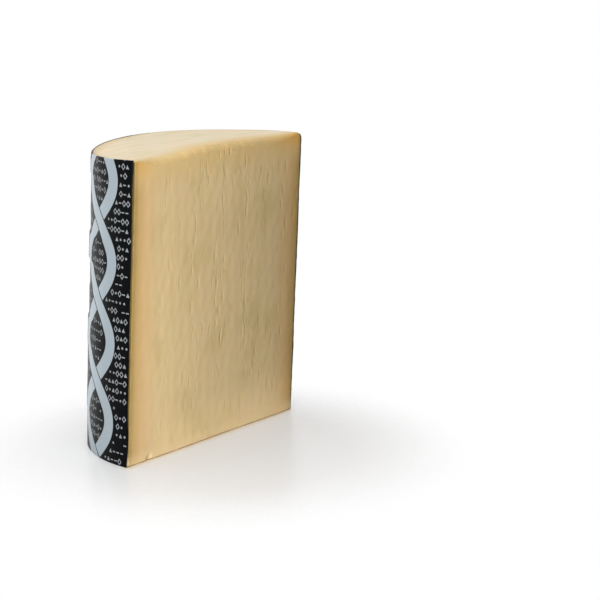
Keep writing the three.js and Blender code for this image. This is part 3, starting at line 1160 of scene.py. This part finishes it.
# 1 on the ribbons, where the one below is cut off beside the one on top, and on the big diamonds.
def silverShapes(m, u, v):
    half, soft = film["ribbon"], film["softness"]
    local, first, second, firstOnTop = ribbonDistances(m, u, v)
    firstHalo, secondHalo = (
        m.fall(way, half + film["gap"] - soft, half + film["gap"] + soft) for way in (first, second))
    firstRibbon = m.fall(first, half - soft, half + soft) * (1 - secondHalo * (1 - firstOnTop))
    secondRibbon = m.fall(second, half - soft, half + soft) * (1 - firstHalo * firstOnTop)
    diamonds = m.fall(bigDiamonds(m, local, u, v), *film["diamondLine"])
    return m.calc("MAXIMUM", m.calc("MAXIMUM", firstRibbon, secondRibbon), diamonds)


# Rows of small marks, each in a cell of its own, that keep clear of the large shapes. A cell's
# luck says which it holds: an open diamond, a dot, a dash, an arrow or none.
def smallMarks(m, u, v):
    row = m.calc("FLOOR", v / marks["cellHeight"])
    shift = m.node("TexWhiteNoise", {"noise_dimensions": "1D"}, {"W": row}, "Value")
    along = u / marks["cellWidth"] + shift
    column = m.calc("FLOOR", along)
    luck = m.node("TexWhiteNoise", {"noise_dimensions": "2D"}, {"Vector": m.join(column, row)}, "Value")
    x = (along - column - 0.5) * marks["cellWidth"]
    y = (v / marks["cellHeight"] - row - 0.5) * marks["cellHeight"]
    cellU, cellV = u - x, v - y
    local, first, second, _ = ribbonDistances(m, cellU, cellV)
    toDiamond = bigDiamonds(m, local, cellU, cellV) - sum(film["diamondLine"]) / 2
    nearest = m.calc("MINIMUM", m.calc("MINIMUM", first, second) - film["ribbon"], toDiamond)
    fromEdge = film["width"] / 2 - abs(cellU - film["width"] / 2)
    clear = (nearest > marks["clearOfShapes"]) * (fromEdge > marks["clearOfEdges"])
    absX, absY = abs(x), abs(y)
    drawn = m.fall(abs(diamondDistance(x, y, *marks["diamond"])), *marks["diamondLine"])
    dot = m.fall(m.distance(x, y), *marks["dot"])
    dash = m.fall(absX, *marks["dashWidth"]) * m.fall(absY, *marks["dashHeight"])
    arrow = m.fall(absX * marks["arrowSteepness"] + y, *marks["arrowSides"])
    arrow = arrow * m.step(y, *marks["arrowFoot"])
    for above, mark in (("dotAbove", dot), ("dashAbove", dash), ("arrowAbove", arrow)):
        drawn = m.choose(luck > marks[above], drawn, mark)
    return drawn * clear * (luck < marks["noneAbove"])


# Glossy black film with a silver print and small grey marks on its outer side.
def filmFinish():
    m = Finish(bpy.data.materials.new("printedFilm"))
    u, v, outer = m.split(m.vector("print"))
    silver = silverShapes(m, u, v)
    speckle = m.noise(m.join(u, v), *film["speckle"])
    colour = m.mix(smallMarks(m, u, v), film["black"], film["marks"])
    colour = m.mix(silver, colour, m.shaded(film["silver"], sized(film["silverShade"], speckle)))
    shader = m.node("BsdfPrincipled", None, {
        "Base Color": m.mix(outer, film["black"], colour),
        "Roughness": sized(film["roughness"], speckle),
        "Specular IOR Level": 0.05,
        "Metallic": silver * outer * film["silverMetal"],
    })
    return m.surface(shader)


cheese = buildCheese()
cheese.data.materials.append(pasteFinish())
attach(cheese, "root")
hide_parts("cheese")
print("cheese built:", len(cheese.data.polygons), "faces")

filmPiece = buildFilm()
filmPiece.data.materials.append(filmFinish())
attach(filmPiece, "root")
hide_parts("rind_film")
print("film built:", len(filmPiece.data.polygons), "faces")

camera = {
    "lens": 110.2,
    "sensor": 36.0,
    "fromAxis": (-1.1467, -0.9722, 0.4598),
    "pitch": 12.75,
    "heading": -52.525,
}


# The camera stands off the log's axis and looks down at it by its pitch.
def placeCamera():
    data = bpy.data.cameras.new("camera")
    data.lens = camera["lens"]
    data.sensor_width = camera["sensor"]
    holder = addObject("camera", data)
    holder.location = Vector(camera["fromAxis"]) + Vector((axisX * mm, axisY * mm, 0))
    holder.rotation_euler = (math.radians(90 - camera["pitch"]), 0, math.radians(camera["heading"]))
    bpy.context.scene.camera = holder


lights = {
    "key": {"at": (-0.52, -0.36, 0.24), "aim": (-0.05, -0.05, 0.13), "side": 0.3, "power": 4.1},
    "top": {"at": (-0.15, 0, 1.25), "aim": (0.0, 0.0, 0.25), "side": 1.2, "power": 6.7},
}
# In metres. Most pairs are the start and the end of a soft step.
studio = {
    "floorSide": 1.2,
    "floorMiddle": (-0.023, -0.07),
    "floorFade": (0.10, 0.22),
    "floorGlow": 0.31,
    "floorColour": (0.62, 0.62, 0.62, 1),
    # Near the cheese the floor's glow dims, a painted deepening of the contact shadow.
    "contact": (0.0, 0.008),
    "contactGlow": 0.7,  # the share of the glow that is left right at the cheese
    # A strip of floor along the cut face carries a painted warm reflection of the cheese.
    "strip": (0.0, 0.006),  # of warmer floor along the cut face
    "stripFront": (-0.005, -0.001),
    "stripColour": (0.74, 0.62, 0.46, 1),
    "stripGlow": (1, 0.88, 0.7, 1),
    "skyLeft": 0.70,
    "skyRight": 0.08,
    "leftward": (-0.61, 0.79),
    "leftSpan": (-0.8, 0.8),
    "skyBehind": 0.7,
    "behind": (0.77, 0.64),
    "behindSpan": (0.35, 0.95),
}
white = (1, 1, 1, 1)


# Square soft lights, each turned towards its aim.
def placeLights():
    for name, light in lights.items():
        data = bpy.data.lights.new(name, "AREA")
        data.shape = "SQUARE"
        data.size, data.energy = light["side"], light["power"]
        holder = addObject(name, data)
        holder.location = light["at"]
        towards = Vector(light["aim"]) - holder.location
        holder.rotation_euler = towards.to_track_quat("-Z", "Y").to_euler()
        holder.visible_camera = False


# The floor fades out into white, and carries a painted warm reflection of the cheese along the cut face.
def floorFinish():
    m = Finish(bpy.data.materials.new("studioFloor"))
    x, y, _ = m.split(m.node("TexCoord", None, None, "Object"))
    middleX, middleY = studio["floorMiddle"]
    away = m.distance(x - middleX, y - middleY)
    # How far outside the half log's footprint a place is.
    logX, logY = x - axisX * mm, y - axisY * mm
    outside = m.calc("MAXIMUM", m.distance(logX, logY) - outerRadius * mm, -logY)
    strip = m.fall(outside, *studio["strip"]) * m.step(-logY, *studio["stripFront"])
    matte = m.node("BsdfPrincipled", None, {
        "Base Color": m.mix(strip, studio["floorColour"], studio["stripColour"]),
        "Roughness": 0.3,
        "Specular IOR Level": 0.5,
    })
    glow = m.node("Emission", None, {"Color": m.mix(strip, white, studio["stripGlow"]), "Strength": 1.0})
    direct = m.node("LightPath", None, None, "Is Camera Ray")
    # The glow dims at the cheese's foot, a painted deepening of the contact shadow.
    unshaded = m.step(outside, *studio["contact"]) * (1 - studio["contactGlow"])
    glowing = direct * (studio["contactGlow"] + unshaded) * studio["floorGlow"]
    near = m.node("MixShader", None, {0: glowing, 1: matte, 2: glow})
    fade = m.step(away, *studio["floorFade"])
    return m.surface(m.node("MixShader", None, {0: fade, 1: near, 2: m.node("BsdfTransparent")}))


# One square under the half log.
def placeFloor():
    bpy.ops.mesh.primitive_plane_add(size=studio["floorSide"])
    floor = bpy.context.object
    floor.name = "studio_floor"
    floor.data.materials.append(floorFinish())


# The sky lights the scene more from the left and from behind. The camera itself sees plain white.
def placeSky():
    sky = Finish(bpy.data.worlds.new("studioSky"))
    bpy.context.scene.world = sky.owner
    x, y, _ = sky.split(sky.node("TexCoord", None, None, "Generated"))
    leftX, leftY = studio["leftward"]
    leftward = sky.step(y * leftY + x * leftX, *studio["leftSpan"])
    behindX, behindY = studio["behind"]
    behind = sky.step(x * behindX + y * behindY, *studio["behindSpan"])
    strength = studio["skyRight"] + leftward * (studio["skyLeft"] - studio["skyRight"])
    strength = strength + behind * studio["skyBehind"]
    lit = sky.node("Background", None, {"Color": white, "Strength": strength})
    seen = sky.node("Background", None, {"Color": white, "Strength": 1.0})
    direct = sky.node("LightPath", None, None, "Is Camera Ray")
    sky.node("OutputWorld", None, {0: sky.node("MixShader", None, {0: direct, 1: lit, 2: seen})})


placeCamera()
placeLights()
placeFloor()
placeSky()
bpy.context.scene.view_settings.view_transform = "Standard"
print("studio set")
